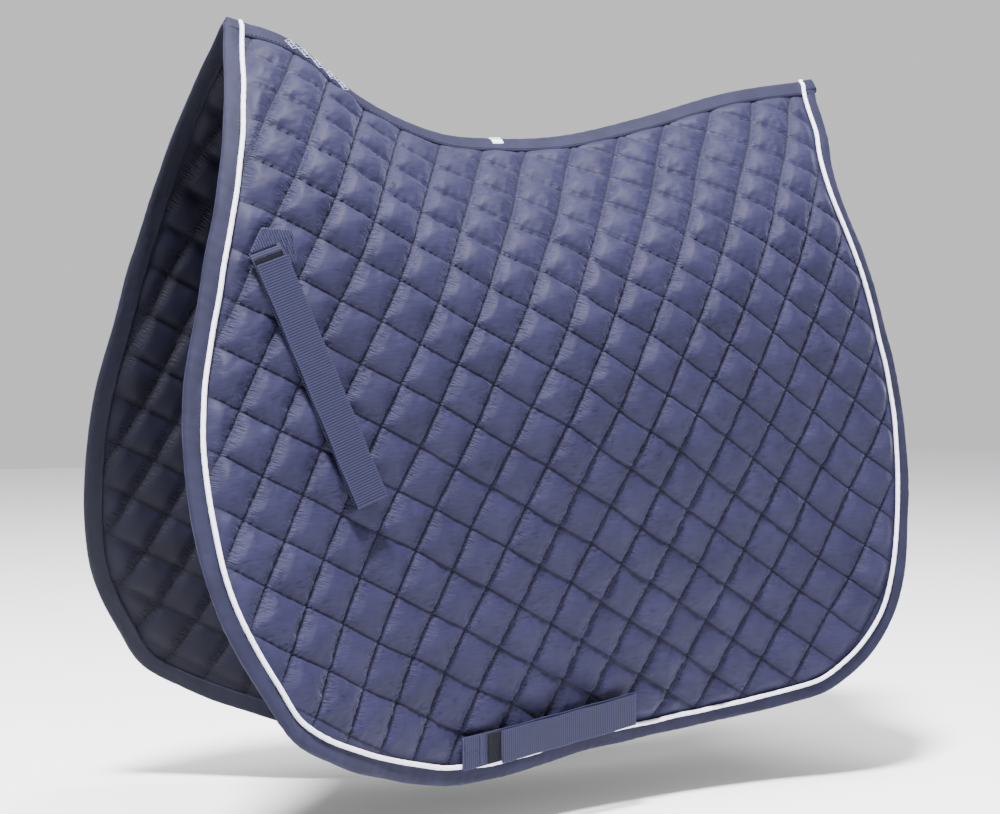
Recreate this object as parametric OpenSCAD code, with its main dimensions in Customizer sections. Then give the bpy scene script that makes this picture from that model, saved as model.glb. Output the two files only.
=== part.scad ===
// General-purpose saddle pad: two quilted flaps hung from a curved spine seam,
// with bound and piped edges and two pairs of hook-and-loop webbing straps.
// Frame: +X to the horse's rear, +Y to its right side, +Z up. The origin is under
// the lowest point of the spine seam, where the pad lies on the horse's back.

/* [Pad] */
// Length of the spine seam in plan, withers to cantle
back_length = 654; // [600:1:700]
// Depth of the flaps below the lowest point of the spine seam
flap_drop = 585; // [530:1:620]
// Half the spread that the flaps settle to under the seam
half_spread = 217; // [200:1:230]
// Depth over which the flaps round over from the seam
shoulder_depth = 156; // [140:1:170]
// How much narrower the pad is at its two ends than in the middle
end_narrowing = 42; // [20:1:50]
// How far the flaps tuck in by full depth
tuck_in = 117; // [90:1:120]
// How much less the rear tucks in than the middle, and more the front
tuck_shift = 69; // [50:1:75]
// Spread that the lower corners regain, front and rear
corner_flare = 85; // [75:1:90]

/* [Layers] */
// Thickness of the quilted stack in the middle of a flap
pad_t = 10; // [8:0.5:12]
// Thickness of the stack where it is sewn flat at its edges
edge_t = 4; // [3:0.5:5]
// Thickness of the outer and lining cloths
cloth_t = 1; // [0.8:0.1:1.2]
// Depth below the seam line at which the flaps start
seam_gap = 33; // [30:1:38]

/* [Edge] */
// Width of the binding on each face
binding_w = 18; // [14:1:20]
// Thickness of the binding cloth
binding_t = 1.2; // [1:0.1:1.5]
// Diameter of the piping
piping_d = 4; // [3:0.5:5]
// Half width of the tapes on the spine seam
tape_half_w = 13; // [10:1:14]

/* [Straps] */
// Thickness of the webbing
web_t = 1.5; // [1.2:0.1:1.8]
// Thickness of one hook or loop tape
grip_t = 1.4; // [1:0.1:1.6]
// Width of the billet strap
billet_w = 29; // [25:1:33]
// Width of the girth strap
girth_w = 30; // [25:1:32]
// Length of the hook and loop tapes
grip_l = 60; // [40:1:80]

/* [Hidden] */

navy = [0.20, 0.21, 0.36];
dark_navy = [0.08, 0.08, 0.16];
white = [0.92, 0.92, 0.96];

kx = back_length / 654;
kz = flap_drop / 585;
seam_rise = 12;

// Side view of the pad as [x, z] points for the reference size, measured from the
// lowest point of the seam. All of them lie on smooth curves.
spine_pts = [[-262, 88], [-200, 74], [-130, 28], [-60, 3], [0, 0], [80, 8], [170, 32],
             [280, 67], [392, 90]];
front_pts = [[-262, 88], [-281, 18], [-300, -62], [-322, -152], [-345, -272],
             [-336, -392], [-300, -472], [-259, -522]];
bottom_pts = [[-150, -570], [-60, -585], [60, -574], [180, -565], [280, -552]];
rear_pts = [[338, -532], [391, -472], [414, -382], [415, -262], [386, -142],
            [359, -42], [375, 28], [392, 90]];
edge_pts = concat(front_pts, bottom_pts, rear_pts);
front_n = len(front_pts) - 1;
rear_n = len(rear_pts) - 1;
bottom_n = len(bottom_pts) + 1;
edge_n = len(edge_pts) - 1;

// Point at parameter t on a smooth curve through the points p, one span per unit of t
function knot(p, i) = i < 0 ? 2 * p[0] - p[1]
    : i > len(p) - 1 ? 2 * p[len(p) - 1] - p[len(p) - 2] : p[i];
function curve(p, t) =
    let (i = min(floor(t), len(p) - 2), f = t - i,
         a = knot(p, i - 1), b = knot(p, i), c = knot(p, i + 1), d = knot(p, i + 2))
    0.5 * (2 * b + (c - a) * f + (2 * a - 5 * b + 4 * c - d) * f * f
           + (3 * b - a - 3 * c + d) * f * f * f);
function sized(q) = [q.x * kx, q.y * kz + seam_rise];
function spine_at(u) = sized(curve(spine_pts, u * (len(spine_pts) - 1)));
function front_at(v) = sized(curve(edge_pts, v * front_n));
function bottom_at(u) = sized(curve(edge_pts, front_n + u * bottom_n));
function rear_at(v) = sized(curve(edge_pts, edge_n - v * rear_n));
spine_table = [for (k = [0 : 64]) spine_at(k / 64)];
function seam_z(x) = lookup(x, spine_table);

// Side-view position at u (front to rear) and v (seam to bottom) inside the outline
function side_at(u, v) =
    (1 - v) * spine_at(u) + v * bottom_at(u) + (1 - u) * front_at(v) + u * rear_at(v)
    - (1 - u) * (1 - v) * spine_at(0) - u * (1 - v) * spine_at(1)
    - (1 - u) * v * bottom_at(0) - u * v * bottom_at(1);

// Half the width of the pad at a point of the side view
function tanh_of(a) = let (e = exp(2 * a)) (e - 1) / (e + 1);
full_depth = 520;
half_reach = 320;
middle_x = 60 * kx;
flare_x = 187 * kx;
// Loss of half width over half the length, going rearwards
rear_loss = 27;
function half_width(x, z) =
    let (d = max(0, seam_z(x) - z), g = d / full_depth,
         m = (x - middle_x) / half_reach, f = (x - flare_x) / half_reach)
    (half_spread - end_narrowing * m * m - rear_loss * x / half_reach)
        * tanh_of(d / shoulder_depth)
    - (tuck_in - tuck_shift * m) * g + corner_flare * g * g * f * f;

function unit(a) = a / norm(a);
// Outward normal and position on the left flap, off millimetres outside its face
function normal_at(q) = unit([
    (half_width(q.x - 1, q.y) - half_width(q.x + 1, q.y)) / 2, -1,
    (half_width(q.x, q.y - 1) - half_width(q.x, q.y + 1)) / 2]);
function on_flap(q, off) = [q.x, -half_width(q.x, q.y), q.y] + off * normal_at(q);

// Parameters of the rows and columns that every layer of a flap shares
span_u = 680;
span_v = 620;
edge_inset = 2;
cells_u = 12;
cells_v = 14;
v_top = seam_gap / span_v;
function blend_up(a) = a * a * (3 - 2 * a);
row_u = concat([edge_inset / span_u, binding_w / span_u],
    [for (k = [0 : cells_u]) let (a = k / cells_u) 0.065 + 0.87 * a],
    [1 - binding_w / span_u, 1 - edge_inset / span_u]);
row_v = concat([for (k = [0 : cells_v]) let (a = k / cells_v) v_top + (0.935 - v_top) * pow(a, 1.2)],
    [1 - binding_w / span_v, 1 - edge_inset / span_v]);
// Distance in millimetres from the bound edge or the spine seam, near enough
function from_edge(u, v) = min(u * span_u, (1 - u) * span_u, (1 - v) * span_v,
                               (v - v_top) * span_v + binding_w);
taper = 26;
function stack_t(u, v) = edge_t
    + (pad_t - edge_t) * blend_up(max(0, min(1, (from_edge(u, v) - binding_w) / taper)));
// Depth of each face of the stack: 0 and 3 are the outside and the inside
function face_off(u, v, level) =
    let (t = stack_t(u, v), top = -(pad_t - t) / 2)
    level == 0 ? top : level == 1 ? top - cloth_t : level == 2 ? top - t + cloth_t : top - t;
function flap_point(u, v, level) = on_flap(side_at(u, v), face_off(u, v, level));

// Closed solid through rings of points: m points to a ring, capped at both ends. A ring
// folds back on itself, so its cap is a strip of quads between its two halves
function cap_strip(m) = [for (j = [0 : m / 2 - 2]) [j, j + 1, m - 2 - j, m - 1 - j]];
function reversed(f) = [for (k = [len(f) - 1 : -1 : 0]) f[k]];
// flipped lists the sides of the ring whose quads split along their other diagonal
function has(list, j) = len(search(j, list)) > 0;
module loft(rings, flipped = []) {
    n = len(rings);
    m = len(rings[0]);
    points = [for (ring = rings) each ring];
    sides = [for (i = [0 : n - 2]) for (j = [0 : m - 1])
        let (k = (j + 1) % m, a = i * m + j, b = i * m + k, c = a + m, d = b + m)
        each has(flipped, j) ? [[a, c, d], [a, d, b]] : [[a, c, b], [b, c, d]]];
    caps = [for (f = cap_strip(m)) each [f, reversed([for (k = f) (n - 1) * m + k])]];
    polyhedron(points, concat(sides, caps));
}

// One layer of a flap between two faces of the stack
module layer(outside, inside) {
    nu = len(row_u);
    nv = len(row_v);
    points = concat(
        [for (v = row_v) for (u = row_u) flap_point(u, v, outside)],
        [for (v = row_v) for (u = row_u) flap_point(u, v, inside)]);
    under = nu * nv;
    face = [for (j = [0 : nv - 2]) for (i = [0 : nu - 2]) let (a = j * nu + i)
        each [[a, a + 1, a + nu], [a + 1, a + nu + 1, a + nu]]];
    back = [for (t = face) [t[2] + under, t[1] + under, t[0] + under]];
    rim = concat([for (i = [0 : nu - 1]) i],
        [for (j = [1 : nv - 1]) j * nu + nu - 1],
        [for (i = [nu - 2 : -1 : 0]) (nv - 1) * nu + i],
        [for (j = [nv - 2 : -1 : 1]) j * nu]);
    walls = [for (k = [0 : len(rim) - 1]) let (a = rim[k], b = rim[(k + 1) % len(rim)])
        each [[a, b + under, b], [a, a + under, b + under]]];
    polyhedron(points, concat(face, back, walls));
}

// Stations round the bound edge of a flap: [u, v] on the edge and [u, v] inside it
bu = binding_w / span_u;
bv = binding_w / span_v;
step = 0.008;
edge_stations = concat(
    [for (v = row_v) if (v < 0.95) [[0, v], [bu, v]]],
    [[[0, 1 - bv], [bu, 1 - bv - step]], [[0, 1], [bu, 1 - bv]], [[bu, 1], [bu + step, 1 - bv]]],
    [for (u = row_u) if (u > 0.05 && u < 0.95) [[u, 1], [u, 1 - bv]]],
    [[[1 - bu, 1], [1 - bu - step, 1 - bv]], [[1, 1], [1 - bu, 1 - bv]],
     [[1, 1 - bv], [1 - bu, 1 - bv - step]]],
    [for (k = [len(row_v) - 1 : -1 : 0]) let (v = row_v[k]) if (v < 0.95) [[1, v], [1 - bu, v]]]);
slack = 0.6;
function at(p, off) = on_flap(side_at(p.x, p.y), off);
function lerp(a, b, f) = a + (b - a) * f;

// The binding folds round the edge as a U: four points out, four points back in
function binding_ring(s) =
    let (mid = -pad_t / 2, h = edge_t / 2 + slack, o = h + binding_t,
         fold = lerp(s[0], s[1], edge_inset * 0.6 / binding_w))
    [at(s[1], mid + o), at(s[0], mid + o * 0.7), at(s[0], mid - o * 0.7), at(s[1], mid - o),
     at(s[1], mid - h), at(fold, mid - h), at(fold, mid + h), at(s[1], mid + h)];

// The piping lies in the inner edge of the binding, on the outside face
piping_sides = 6;
function piping_ring(k) =
    let (s = edge_stations[k],
         a = at(edge_stations[max(k - 1, 0)][1], 0),
         b = at(edge_stations[min(k + 1, len(edge_stations) - 1)][1], 0),
         q = side_at(s[1].x, s[1].y), n = normal_at(q), side = unit(cross(n, b - a)),
         r = piping_d / 2,
         c = on_flap(q, -pad_t / 2 + edge_t / 2 + slack + binding_t + r + 0.1))
    [for (j = [0 : piping_sides - 1]) let (w = 360 * j / piping_sides)
        c + r * (cos(w) * side + sin(w) * n)];

// Roof-shaped strip on the spine seam, half_w wide each way, from one depth to another
ridge_slope = half_spread / shoulder_depth - tuck_in / full_depth;
function ridge_ring(q, half_w, top, bottom) =
    let (drop = half_w / ridge_slope)
    [[q.x, half_w, q.y - drop + top], [q.x, 0, q.y + top], [q.x, -half_w, q.y - drop + top],
     [q.x, -half_w, q.y - drop + bottom], [q.x, 0, q.y + bottom],
     [q.x, half_w, q.y - drop + bottom]];
end_u = binding_w / back_length;
tape_t = 1.4;
under_tape_z = 2.6 - seam_rise;
// The tapes run between the end bindings in straight steps. Whatever is sewn on them
// keeps to the same steps, so that it lies flat on their faces
tape_steps = 24;
function tape_at(k) =
    let (i = min(floor(k), tape_steps - 1), w = (1 - 2 * end_u) / tape_steps)
    lerp(spine_at(end_u + i * w), spine_at(end_u + (i + 1) * w), k - i);
module ridge(stations, half_w, top, bottom) {
    loft([for (q = stations) ridge_ring(q, half_w, top, bottom)]);
}
module tape(half_w, top, bottom) {
    ridge([for (k = [0 : tape_steps]) tape_at(k)], half_w, top, bottom);
}

// Straps. Each runs along +Y of its own frame from the hinge at its sewn tab, with +Z
// away from the pad: [top x, z], [end x, z], stand-off at the hinge and at the end, and
// how far from the hinge the front layer starts
billet_line = [[-270, -130], [-191, -335], 4.5, 11, 8];
girth_line = [[-73, -553], [95, -534], 5.5, 8, 16];
function strap_frame(line) =
    let (p = on_flap(sized(line[0]), line[2]), e = on_flap(sized(line[1]), line[3]),
         t = unit(e - p), n0 = normal_at(sized((line[0] + line[1]) / 2)),
         n = unit(n0 - (n0 * t) * t), w = cross(t, n))
    [[w.x, t.x, n.x, p.x], [w.y, t.y, n.y, p.y], [w.z, t.z, n.z, p.z], [0, 0, 0, 1]];
function strap_length(line) =
    norm(on_flap(sized(line[1]), line[3]) - on_flap(sized(line[0]), line[2]));
hinge_gap = 1.6;
grip_start = 3;
grip_gap = 0.3;
tail_z = web_t + 2 * grip_t + grip_gap;
fold_r = (tail_z + web_t) / 2;
fold_gap = 0.5;
thread_t = 0.4;

module band(w, y0, y1, z0, t) {
    translate([-w / 2, y0, z0]) cube([w, y1 - y0, t]);
}
// Back layer of a strap, with the fold at its end
module strap_web(w, length) {
    band(w, hinge_gap, length - fold_r, 0, web_t);
    translate([-w / 2, length - fold_r, fold_r]) rotate([0, 90, 0]) intersection() {
        difference() {
            cylinder(h = w, r = fold_r, $fn = 48);
            translate([0, 0, -1]) cylinder(h = w + 2, r = fold_r - web_t, $fn = 48);
        }
        translate([-2 * fold_r, 0, -1]) cube([4 * fold_r, 2 * fold_r, w + 2]);
    }
}
module strap_tail(w, start, length) {
    band(w, start, length - 2 * fold_r - fold_gap, tail_z, web_t);
}
module loop_tape(w) {
    band(w - 3, grip_start, grip_start + grip_l, web_t, grip_t);
}
module hook_tape(w, start) {
    band(w - 3, start + 1, start + grip_l, web_t + grip_t + grip_gap, grip_t);
}
// Sewn end of the girth strap: webbing folded under, from the pad's face to the hinge,
// with a bar of thread at each end and one between them
tab_l = 23;
tab_t = 3;
module girth_tab(w) {
    band(w, -tab_l, -hinge_gap, web_t - tab_t, tab_t);
}
module girth_tacks(w) {
    for (y = [-tab_l + 2, -hinge_gap - 4]) band(w - 4, y, y + 2, web_t, thread_t);
    band(1.5, -tab_l + 5, -hinge_gap - 5, web_t, thread_t);
}
// Sewn end of the billet strap: the webbing is sewn on beside the strap, passes under its
// top and turns down in a triangular fold. Two rows of thread hold the part beside it
sewn_outline = [[13, -4], [-5, -20], [-29, -9.5], [-22, 18], [-4.5, 10], [13, 4]];
fold_outline = [[14, -3], [-5, -20], [-12, -3]];
module plate(outline, z, t) {
    translate([0, 0, z]) linear_extrude(t) polygon(outline);
}
module billet_tab() {
    plate(sewn_outline, -web_t - 0.4, web_t);
    plate(fold_outline, -0.4, web_t);
}
module billet_tacks() {
    for (x = [-26.5, -20.5]) plate([[x, -4.5], [x + 1.5, -5.2], [x + 5, 11], [x + 3.5, 12]],
        -0.4, thread_t);
}

module on_side(side) {
    mirror([0, side == "right" ? 1 : 0, 0]) children();
}
module strap_part(part, line, w) {
    length = strap_length(line);
    multmatrix(strap_frame(line)) {
        if (part == "tab") color(navy) if (line == girth_line) girth_tab(w); else billet_tab();
        if (part == "tacks") color(dark_navy)
            if (line == girth_line) girth_tacks(w); else billet_tacks();
        if (part == "strap") color(navy) strap_web(w, length);
        if (part == "loop_tape") color(dark_navy) loop_tape(w);
        if (part == "tail") color(navy) strap_tail(w, line[4], length);
        if (part == "hook_tape") color(dark_navy) hook_tape(w, line[4]);
    }
}

module outer_panel() { color(navy) layer(0, 1); }
module wadding() { color(white) layer(1, 2); }
module lining_panel() { color(dark_navy) layer(2, 3); }
module edge_binding() { color(navy) loft([for (s = edge_stations) binding_ring(s)], [0, 4]); }
module piping() {
    color(white) loft([for (k = [0 : len(edge_stations) - 1]) piping_ring(k)]);
}
module spine_tape() { color(navy) tape(tape_half_w, 0, -tape_t); }
module seam_cord() { color(navy) tape(3, -tape_t, under_tape_z + tape_t); }
module under_tape() { color(dark_navy) tape(8, under_tape_z + tape_t, under_tape_z); }
// The binding where it crosses the seam, front and rear
end_half_w = tape_half_w - 3;
end_gap_u = 0.001;
module withers_binding() {
    color(navy) ridge([for (k = [0, 1, 2]) spine_at(k / 2 * (end_u - end_gap_u))],
        end_half_w, binding_t, under_tape_z);
}
module cantle_binding() {
    color(navy) ridge([for (k = [2, 1, 0]) spine_at(1 - k / 2 * (end_u - end_gap_u))],
        end_half_w, binding_t, under_tape_z);
}
// Steps of the tape that the label and the motif lie on
label_steps = [12.1, 12.6];
motif_steps = [2, 3, 4, 5];
module care_label() {
    color(white) ridge([for (k = label_steps) tape_at(k)], tape_half_w - 5, 0.5, 0);
}
module motif_patch() {
    color(white) ridge([for (k = motif_steps) tape_at(k)], tape_half_w - 3, 0.6, 0);
}

module part_of(side, part) {
    on_side(side) {
        if (part == "outer_panel") outer_panel();
        if (part == "wadding") wadding();
        if (part == "lining_panel") lining_panel();
        if (part == "edge_binding") edge_binding();
        if (part == "piping") piping();
        for (strap = [["billet", billet_line, billet_w], ["girth", girth_line, girth_w]])
            for (piece = ["tab", "tacks", "strap", "loop_tape", "tail", "hook_tape"])
                if (part == str(strap[0], "_", piece)) strap_part(piece, strap[1], strap[2]);
    }
}

spine_tape();
seam_cord();
under_tape();
withers_binding();
cantle_binding();
care_label();
motif_patch();
for (side = ["left", "right"])
    for (part = ["outer_panel", "wadding", "lining_panel", "edge_binding", "piping",
                 "billet_tab", "billet_tacks", "billet_strap", "billet_loop_tape",
                 "billet_tail", "billet_hook_tape", "girth_tab", "girth_tacks",
                 "girth_strap", "girth_loop_tape", "girth_tail", "girth_hook_tape"])
        part_of(side, part);
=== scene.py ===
"""Looks of the saddle pad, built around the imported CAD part.

Lengths are in millimetres in the part's frame (+X to the horse's rear, +Y to its right
side, +Z up) until a mesh is made, and metres from there on.
"""

import math

import bpy
import numpy as np
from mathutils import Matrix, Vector
from mathutils.kdtree import KDTree


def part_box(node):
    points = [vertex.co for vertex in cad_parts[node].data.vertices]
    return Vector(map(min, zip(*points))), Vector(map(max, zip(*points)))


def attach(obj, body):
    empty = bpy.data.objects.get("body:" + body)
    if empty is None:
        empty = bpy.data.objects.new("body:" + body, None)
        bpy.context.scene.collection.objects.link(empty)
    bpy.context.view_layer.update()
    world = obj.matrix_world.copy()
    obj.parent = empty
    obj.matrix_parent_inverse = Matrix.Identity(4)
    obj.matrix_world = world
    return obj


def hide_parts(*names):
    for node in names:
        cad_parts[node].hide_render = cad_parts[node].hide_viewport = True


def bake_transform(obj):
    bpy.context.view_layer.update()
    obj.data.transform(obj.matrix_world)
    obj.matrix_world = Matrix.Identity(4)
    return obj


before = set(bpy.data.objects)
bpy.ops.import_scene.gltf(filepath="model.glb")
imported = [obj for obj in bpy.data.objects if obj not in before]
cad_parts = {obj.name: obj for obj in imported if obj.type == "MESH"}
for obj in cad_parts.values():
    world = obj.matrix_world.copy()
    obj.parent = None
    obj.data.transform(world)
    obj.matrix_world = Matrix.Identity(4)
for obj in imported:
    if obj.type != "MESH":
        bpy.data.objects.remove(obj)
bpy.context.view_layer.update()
MM = 0.001
SIDES = {"left": -1, "right": 1}  # sign of y

# ---------------------------------------------------------------- shape of the pad
# The same outline and half-width rule as the CAD part, in millimetres.
SEAM_RISE = 12
SPINE = np.array(
    [[-262, 88], [-200, 74], [-130, 28], [-60, 3], [0, 0], [80, 8], [170, 32], [280, 67], [392, 90]], float
)
FRONT = [[-262, 88], [-281, 18], [-300, -62], [-322, -152], [-345, -272], [-336, -392]]
FRONT += [[-300, -472], [-259, -522]]
BOTTOM = [[-150, -570], [-60, -585], [60, -574], [180, -565], [280, -552]]
REAR = [[338, -532], [391, -472], [414, -382], [415, -262], [386, -142], [359, -42], [375, 28], [392, 90]]
EDGE = np.array(FRONT + BOTTOM + REAR, float)
HALF_SPREAD, SHOULDER_DEPTH, END_NARROWING, REAR_LOSS = 217, 156, 42, 27
TUCK_IN, TUCK_SHIFT, CORNER_FLARE = 117, 69, 85
FULL_DEPTH, HALF_REACH, MIDDLE_X, FLARE_X = 520, 320, 60, 187
MID_OFF = -5.0  # the middle of the stack lies this far inside the nominal face
SEAM_LIFT = 3.2  # and this much less far inside it at the spine seam
SEAM_LIFT_WIDTH = 35
CREST_E = 3.5  # rounding of the crest of the spine seam
CREST_SLOPE = 0.857


def curve(p, t):
    """Points at parameters t on the Catmull-Rom curve through p."""
    p = np.asarray(p, float)
    knots = np.vstack([2 * p[0] - p[1], p, 2 * p[-1] - p[-2]])
    t = np.atleast_1d(np.asarray(t, float))
    i = np.clip(np.floor(t).astype(int), 0, len(p) - 2)
    f = (t - i)[:, None]
    a, b, c, d = knots[i], knots[i + 1], knots[i + 2], knots[i + 3]
    return 0.5 * (2 * b + (c - a) * f + (2 * a - 5 * b + 4 * c - d) * f**2 + (3 * b - a - 3 * c + d) * f**3)


def even_line(p, step):
    """The curve through p as points about step apart, with the distance along it of each."""
    dense = curve(p, np.linspace(0, len(p) - 1, 4000))
    along = np.r_[0, np.cumsum(np.hypot(*np.diff(dense, axis=0).T))]
    s = np.linspace(0, along[-1], max(2, round(along[-1] / step) + 1))
    return np.column_stack([np.interp(s, along, dense[:, k]) for k in (0, 1)]), s


SPINE_LINE = even_line(SPINE, 2)[0] + [0, SEAM_RISE]


def seam_z(x):
    return np.interp(x, SPINE_LINE[:, 0], SPINE_LINE[:, 1])


def half_width(x, z):
    d = np.maximum(0, seam_z(x) - z)
    g, m, f = d / FULL_DEPTH, (x - MIDDLE_X) / HALF_REACH, (x - FLARE_X) / HALF_REACH
    spread = HALF_SPREAD - END_NARROWING * m * m - REAR_LOSS * x / HALF_REACH
    return spread * np.tanh(d / SHOULDER_DEPTH) - (TUCK_IN - TUCK_SHIFT * m) * g + CORNER_FLARE * (g * f) ** 2


def unit(a):
    return a / np.maximum(np.linalg.norm(a, axis=-1, keepdims=True), 1e-9)


def normal_at(x, z):
    """Outward normal of the left flap."""
    z = np.minimum(z, seam_z(x) - 1.5)
    return unit(
        np.stack(
            [
                (half_width(x - 1, z) - half_width(x + 1, z)) / 2,
                -np.ones_like(x),
                (half_width(x, z - 1) - half_width(x, z + 1)) / 2,
            ],
            -1,
        )
    )


def on_flap(x, z, off):
    """Points off millimetres outside the left flap's nominal face."""
    x, z = np.asarray(x, float), np.asarray(z, float)
    base = np.stack([x, -half_width(x, z), z], -1)
    return base + np.asarray(off, float)[..., None] * normal_at(x, z)


def smooth(a):
    a = np.clip(a, 0, 1)
    return a * a * (3 - 2 * a)


def round_crest(p):
    """Rounds the ridge of the spine seam."""
    p = np.array(p, float)
    y = np.abs(p[..., 1])
    p[..., 2] -= CREST_SLOPE * (np.hypot(y, CREST_E) - y)
    return p


# Flat cloth coordinates of a flap: a = x, and b = height the cloth would reach if each
# section at constant x were straightened down from the seam.
X_GRID = np.linspace(-370, 440, 163)
D_GRID = np.linspace(0, 740, 741)
S_GRID = np.linspace(0, 820, 411)
_sections = half_width(X_GRID[:, None], seam_z(X_GRID)[:, None] - D_GRID[None, :])
_arcs = np.cumsum(np.hypot(np.diff(D_GRID)[None, :], np.diff(_sections, axis=1)), axis=1)
ARC = np.hstack([np.zeros((len(X_GRID), 1)), _arcs])
DEPTH = np.array([np.interp(S_GRID, arc, D_GRID) for arc in ARC])


def bilinear(table, x, x_axis, y, y_axis):
    i = np.clip((x - x_axis[0]) / (x_axis[1] - x_axis[0]), 0, len(x_axis) - 1.001)
    j = np.clip((y - y_axis[0]) / (y_axis[1] - y_axis[0]), 0, len(y_axis) - 1.001)
    i0, j0 = i.astype(int), j.astype(int)
    fi, fj = i - i0, j - j0
    return (
        table[i0, j0] * (1 - fi) * (1 - fj)
        + table[i0 + 1, j0] * fi * (1 - fj)
        + table[i0, j0 + 1] * (1 - fi) * fj
        + table[i0 + 1, j0 + 1] * fi * fj
    )


def arc_of(x, z):
    """Length of cloth from the seam down to (x, z)."""
    return bilinear(ARC, x, X_GRID, np.maximum(0, seam_z(x) - z), D_GRID)


def z_of(x, s):
    return seam_z(x) - bilinear(DEPTH, x, X_GRID, np.maximum(s, 0), S_GRID)


def mid_off(s):
    """Depth of the middle of the stack, s millimetres of cloth below the seam."""
    return MID_OFF + SEAM_LIFT * (1 - smooth(s / SEAM_LIFT_WIDTH))


def noise(points, scale, seed):
    """Smooth repeatable noise from -1 to 1 at points, by a sum of sines."""
    rng = np.random.default_rng(seed)
    points = np.atleast_2d(points)
    out = np.zeros(len(points))
    for _ in range(9):
        k = rng.normal(size=points.shape[1])
        k *= (2 * math.pi / scale) * rng.uniform(0.6, 1.5) / np.linalg.norm(k)
        out += np.sin(points @ k + rng.uniform(0, 2 * math.pi))
    return out / 9**0.5


def bend(obj, nodes=()):
    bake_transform(obj)
    if nodes:
        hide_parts(*nodes)
    return obj


def new_mesh(name, points, faces, materials, slots=None, uv=None, smooth_faces=True):
    """A mesh object from points in millimetres."""
    mesh = bpy.data.meshes.new(name)
    mesh.from_pydata((np.asarray(points) * MM).tolist(), [], [list(map(int, f)) for f in faces])
    for m in materials:
        mesh.materials.append(m)
    if slots is not None:
        mesh.polygons.foreach_set("material_index", np.asarray(slots, np.int32))
    if uv is not None:
        for layer, values in uv.items():
            loops = np.zeros(len(mesh.loops), np.int32)
            mesh.loops.foreach_get("vertex_index", loops)
            data = mesh.uv_layers.new(name=layer).data
            data.foreach_set("uv", np.asarray(values, np.float32)[loops].ravel())
    mesh.polygons.foreach_set("use_smooth", [smooth_faces] * len(mesh.polygons))
    mesh.update()
    obj = bpy.data.objects.new(name, mesh)
    bpy.context.scene.collection.objects.link(obj)
    return obj


def mirrored(points, side):
    p = np.array(points, float)
    if side == "right":
        p[..., 1] *= -1
    return p


def tube_faces(n, m, closed_ring=True, caps=True):
    """Faces of a loft of n rings with m points each."""
    last = m if closed_ring else m - 1
    f = [
        (i * m + j, i * m + (j + 1) % m, (i + 1) * m + (j + 1) % m, (i + 1) * m + j)
        for i in range(n - 1)
        for j in range(last)
    ]
    if caps and closed_ring:
        f += [tuple(range(m))[::-1], tuple((n - 1) * m + j for j in range(m))]
    return f


def loft(name, rings, side, materials, uv=None, **options):
    """A mesh through rings of points given for the left side."""
    rings = np.asarray(rings, float)
    n, m = rings.shape[:2]
    faces = tube_faces(n, m, **options)
    if side == "right":
        faces = [f[::-1] for f in faces]
    return new_mesh(name, mirrored(rings.reshape(-1, 3), side), faces, materials, uv=uv)


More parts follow.
